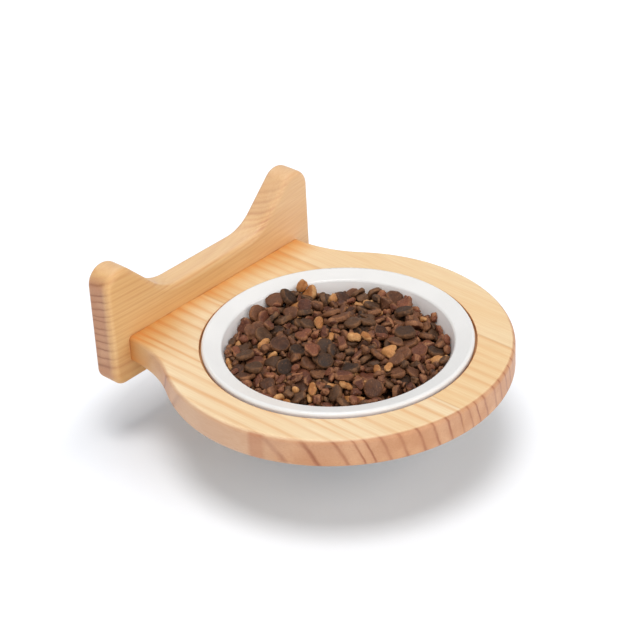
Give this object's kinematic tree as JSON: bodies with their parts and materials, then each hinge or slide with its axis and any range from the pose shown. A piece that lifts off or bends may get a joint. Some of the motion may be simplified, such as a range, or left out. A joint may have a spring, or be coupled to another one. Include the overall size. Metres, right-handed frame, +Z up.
{
  "type": "wall-mounted cat feeder",
  "caption": "Round pine shelf on an upright wall plate with two rounded ears, holding a wide-rimmed white ceramic bowl that lifts out.",
  "frame": {"origin": "middle of the wall plate's flat back, halfway up the plate", "axes": "+Y into the wall, +X to the right of someone who faces the wall, +Z up"},
  "size_m": [0.176, 0.188, 0.0792],
  "materials": {
    "plate_pine": "clear matt oil over sanded pine, grain along X",
    "shelf_pine": "clear matt oil over sanded edge-glued pine, grain along Y",
    "white_glaze": "white satin glaze",
    "hanger_steel": "zinc-plated sheet",
    "screw_steel": "zinc-plated screws",
    "beech": "bare turned beech"
  },
  "bodies": {
    "stand": {"wall_plate": "plate_pine", "shelf_board": "shelf_pine", "hanger_plate_left": "hanger_steel", "hanger_plate_right": "hanger_steel", "hanger_screws": "screw_steel", "shelf_screws": "screw_steel", "dowel_pins": "beech"},
    "bowl": {"feeding_bowl": "white_glaze"}
  },
  "joints": [
    {"name": "bowl_lift", "type": "slide", "parent": "stand", "child": "bowl", "axis": [0, 0, 1], "range_m": [0, 0.12]}
  ]
}
